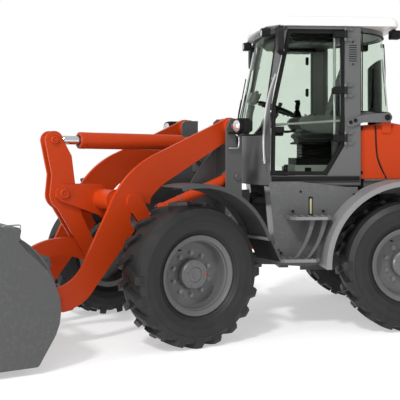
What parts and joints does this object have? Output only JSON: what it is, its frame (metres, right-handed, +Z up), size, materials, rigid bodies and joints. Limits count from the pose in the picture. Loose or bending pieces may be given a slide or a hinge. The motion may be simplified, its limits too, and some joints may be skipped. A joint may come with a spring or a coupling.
{
  "type": "articulated wheel loader",
  "caption": "Articulated wheel loader: hinged front half with lift arms, tilt linkage, coupler and bucket, glazed cab with opening door, tilting hood and four lugged wheels.",
  "frame": {"origin": "on the ground, at the centre of the machine's bounding box in plan", "axes": "+X towards the front of the rear half, +Y to its left, +Z up; the front half is turned 26 degrees to the left at rest"},
  "size_m": [6.7454, 3.817, 3.0723],
  "materials": {
    "body_paint": "gloss orange-red paint",
    "bucket_paint": "satin dark grey paint over wear plate",
    "engine_iron": "painted casting",
    "frame_paint": "satin grey paint",
    "glass": "pale green tint",
    "lamp_body": "matt black housing",
    "lamp_lens": "clear lens",
    "pin_steel": "bare steel",
    "plastic_grey": "matt grey moulding",
    "rim_paint": "satin grey paint",
    "rod_chrome": "polished hard chrome",
    "roof_paint": "satin white paint",
    "seat_cloth": "woven",
    "tail_lens": "clear red",
    "trim": "matt black",
    "tyre": "matt rubber"
  },
  "bodies": {
    "chassis": {"rear_frame": "frame_paint", "side_tanks": "frame_paint", "steps": "frame_paint", "rear_axle": "frame_paint", "rear_fenders": "plastic_grey", "counterweight": "frame_paint", "engine": "engine_iron", "hood_cowl": "body_paint", "hinge_yoke": "frame_paint", "cab_frame": "frame_paint", "cab_glass": "glass", "cab_roof": "roof_paint", "seat": "seat_cloth", "seat_base": "trim", "steering_column": "trim", "exhaust_stack": "frame_paint", "work_lamps": "lamp_body", "side_console": "plastic_grey", "mirrors": "trim", "tail_lamps": "tail_lens", "grab_rails": "trim"},
    "hood": {"hood": "body_paint", "hood_grille": "trim"},
    "door": {"door_frame": "trim", "door_glass": "glass"},
    "front": {"front_frame": "frame_paint", "front_axle": "frame_paint", "front_fenders": "plastic_grey", "head_lamps": "lamp_body", "lamp_lenses": "lamp_lens"},
    "boom": {"boom": "body_paint"},
    "bucket_pins": {"bucket_pins": "pin_steel"},
    "bucket": {"quick_coupler": "bucket_paint", "bucket": "bucket_paint"},
    "crank_pin": {"crank_pin": "pin_steel"},
    "bell_crank": {"bell_crank": "body_paint"},
    "link_pin": {"link_pin": "pin_steel"},
    "tilt_link": {"tilt_link": "body_paint"},
    "tilt_barrel": {"tilt_barrel": "body_paint"},
    "tilt_rod": {"tilt_rod": "rod_chrome"},
    "lift_barrel_left": {"lift_barrel_left": "body_paint"},
    "lift_rod_left": {"lift_rod_left": "rod_chrome"},
    "steer_barrel_left": {"steer_barrel_left": "body_paint"},
    "steer_rod_left": {"steer_rod_left": "rod_chrome"},
    "lift_barrel_right": {"lift_barrel_right": "body_paint"},
    "lift_rod_right": {"lift_rod_right": "rod_chrome"},
    "steer_barrel_right": {"steer_barrel_right": "body_paint"},
    "steer_rod_right": {"steer_rod_right": "rod_chrome"},
    "wheel_front_left": {"tyre_front_left": "tyre", "rim_front_left": "rim_paint"},
    "wheel_front_right": {"tyre_front_right": "tyre", "rim_front_right": "rim_paint"},
    "wheel_rear_left": {"tyre_rear_left": "tyre", "rim_rear_left": "rim_paint"},
    "wheel_rear_right": {"tyre_rear_right": "tyre", "rim_rear_right": "rim_paint"}
  },
  "joints": [
    {"name": "steer", "type": "hinge", "parent": "chassis", "child": "front", "pos_m": [-0.58275, -0.80848, 0.88], "axis": [0, 0, 1], "range_deg": [-66, 14]},
    {"name": "steer_barrel_left_pivot", "type": "hinge", "parent": "chassis", "child": "steer_barrel_left", "pos_m": [-0.88275, -0.57848, 0.76], "axis": [0, 0, 1], "range_deg": [-38.02, 8.22]},
    {"name": "steer_rod_left_slide", "type": "slide", "parent": "steer_barrel_left", "child": "steer_rod_left", "axis": [0.9752, 0.2213, 0], "range_m": [-0.054, 0.2472]},
    {"name": "steer_barrel_right_pivot", "type": "hinge", "parent": "chassis", "child": "steer_barrel_right", "pos_m": [-0.88275, -1.03848, 0.76], "axis": [0, 0, 1], "range_deg": [-38.01, 8.22]},
    {"name": "steer_rod_right_slide", "type": "slide", "parent": "steer_barrel_right", "child": "steer_rod_right", "axis": [0.9562, 0.2929, 0], "range_m": [-0.2472, 0.054]},
    {"name": "lift", "type": "hinge", "parent": "front", "child": "boom", "pos_m": [-0.04617, -0.54677, 1.96], "axis": [0.4384, -0.8988, 0], "range_deg": [-3.5, 77]},
    {"name": "lift_barrel_left_pivot", "type": "hinge", "parent": "front", "child": "lift_barrel_left", "pos_m": [-0.26523, -0.17519, 1.469], "axis": [0.4384, -0.8988, 0], "range_deg": [-3.4, 70.68]},
    {"name": "lift_rod_left_slide", "type": "slide", "parent": "lift_barrel_left", "child": "lift_rod_left", "axis": [0.843, 0.4112, -0.3467], "range_m": [-0.0294, 0.605]},
    {"name": "lift_barrel_right_pivot", "type": "hinge", "parent": "front", "child": "lift_barrel_right", "pos_m": [0.11177, -0.94816, 1.469], "axis": [0.4384, -0.8988, 0], "range_deg": [-3.4, 70.68]},
    {"name": "lift_rod_right_slide", "type": "slide", "parent": "lift_barrel_right", "child": "lift_rod_right", "axis": [0.843, 0.4112, -0.3467], "range_m": [-0.0294, 0.605]},
    {"name": "bucket_level", "type": "hinge", "parent": "boom", "child": "bucket_pins", "pos_m": [1.63278, 0.27211, 0.435], "axis": [0.4384, -0.8988, 0], "range_deg": [-81.05, 3.88]},
    {"name": "tilt", "type": "hinge", "parent": "bucket_pins", "child": "bucket", "pos_m": [1.63278, 0.27211, 0.435], "axis": [-0.4384, 0.8988, 0], "range_deg": [-29, 42]},
    {"name": "crank_lift", "type": "hinge", "parent": "boom", "child": "crank_pin", "pos_m": [1.38112, 0.14936, 1.333], "axis": [0.4384, -0.8988, 0], "range_deg": [-1.36, 25.68]},
    {"name": "crank_tilt", "type": "hinge", "parent": "crank_pin", "child": "bell_crank", "pos_m": [1.38112, 0.14936, 1.333], "axis": [0.4384, -0.8988, 0], "range_deg": [-9.77, 14.06]},
    {"name": "link_lift", "type": "hinge", "parent": "bell_crank", "child": "link_pin", "pos_m": [1.11777, 0.02092, 0.76], "axis": [0.4384, -0.8988, 0], "range_deg": [-54.07, 2.65]},
    {"name": "link_tilt", "type": "hinge", "parent": "link_pin", "child": "tilt_link", "pos_m": [1.11777, 0.02092, 0.76], "axis": [0.4384, -0.8988, 0], "range_deg": [-18.78, 13.03]},
    {"name": "tilt_barrel_pivot", "type": "hinge", "parent": "front", "child": "tilt_barrel", "pos_m": [0.13629, -0.45778, 1.8], "axis": [0.4384, -0.8988, 0], "range_deg": [-3.81, 79.73]},
    {"name": "tilt_rod_slide", "type": "slide", "parent": "tilt_barrel", "child": "tilt_rod", "axis": [0.8986, 0.4383, 0.019], "range_m": [-0.0928, 0.0647]},
    {"name": "door_swing", "type": "hinge", "parent": "chassis", "child": "door", "pos_m": [-1.36875, -0.03648, 1.5], "axis": [0, 0, 1], "range_deg": [0, 105]},
    {"name": "hood_tilt", "type": "hinge", "parent": "chassis", "child": "hood", "pos_m": [-1.78675, -0.80848, 2.051], "axis": [0, 1, 0], "range_deg": [0, 45]},
    {"name": "wheel_front_left_spin", "type": "hinge", "parent": "front", "child": "wheel_front_left", "pos_m": [0.20913, 0.57908, 0.6385], "axis": [-0.4384, 0.8988, 0], "continuous": true},
    {"name": "wheel_front_right_spin", "type": "hinge", "parent": "front", "child": "wheel_front_right", "pos_m": [0.99819, -1.03874, 0.6385], "axis": [-0.4384, 0.8988, 0], "continuous": true},
    {"name": "wheel_rear_left_spin", "type": "hinge", "parent": "chassis", "child": "wheel_rear_left", "pos_m": [-1.90275, 0.09152, 0.6385], "axis": [0, 1, 0], "continuous": true},
    {"name": "wheel_rear_right_spin", "type": "hinge", "parent": "chassis", "child": "wheel_rear_right", "pos_m": [-1.90275, -1.70848, 0.6385], "axis": [0, 1, 0], "continuous": true}
  ],
  "couplings": [
    {"joint": "steer_barrel_left_pivot", "follows": "steer", "ratio": 0.5731},
    {"joint": "steer_rod_left_slide", "follows": "steer", "m_per_rad": -0.2129},
    {"joint": "steer_barrel_right_pivot", "follows": "steer", "ratio": 0.5728},
    {"joint": "steer_rod_right_slide", "follows": "steer", "m_per_rad": 0.2129},
    {"joint": "lift_barrel_left_pivot", "follows": "lift", "ratio": 0.9153},
    {"joint": "lift_rod_left_slide", "follows": "lift", "m_per_rad": 0.4487},
    {"joint": "lift_barrel_right_pivot", "follows": "lift", "ratio": 0.9153},
    {"joint": "lift_rod_right_slide", "follows": "lift", "m_per_rad": 0.4487},
    {"joint": "bucket_level", "follows": "lift", "ratio": -1.05},
    {"joint": "crank_lift", "follows": "lift", "ratio": 0.3309},
    {"joint": "crank_tilt", "follows": "tilt", "ratio": 0.33},
    {"joint": "link_lift", "follows": "lift", "ratio": -0.6996},
    {"joint": "link_tilt", "follows": "tilt", "ratio": -0.4424},
    {"joint": "tilt_barrel_pivot", "follows": "lift", "ratio": 1.0328},
    {"joint": "tilt_rod_slide", "follows": "tilt", "m_per_rad": -0.1238}
  ]
}
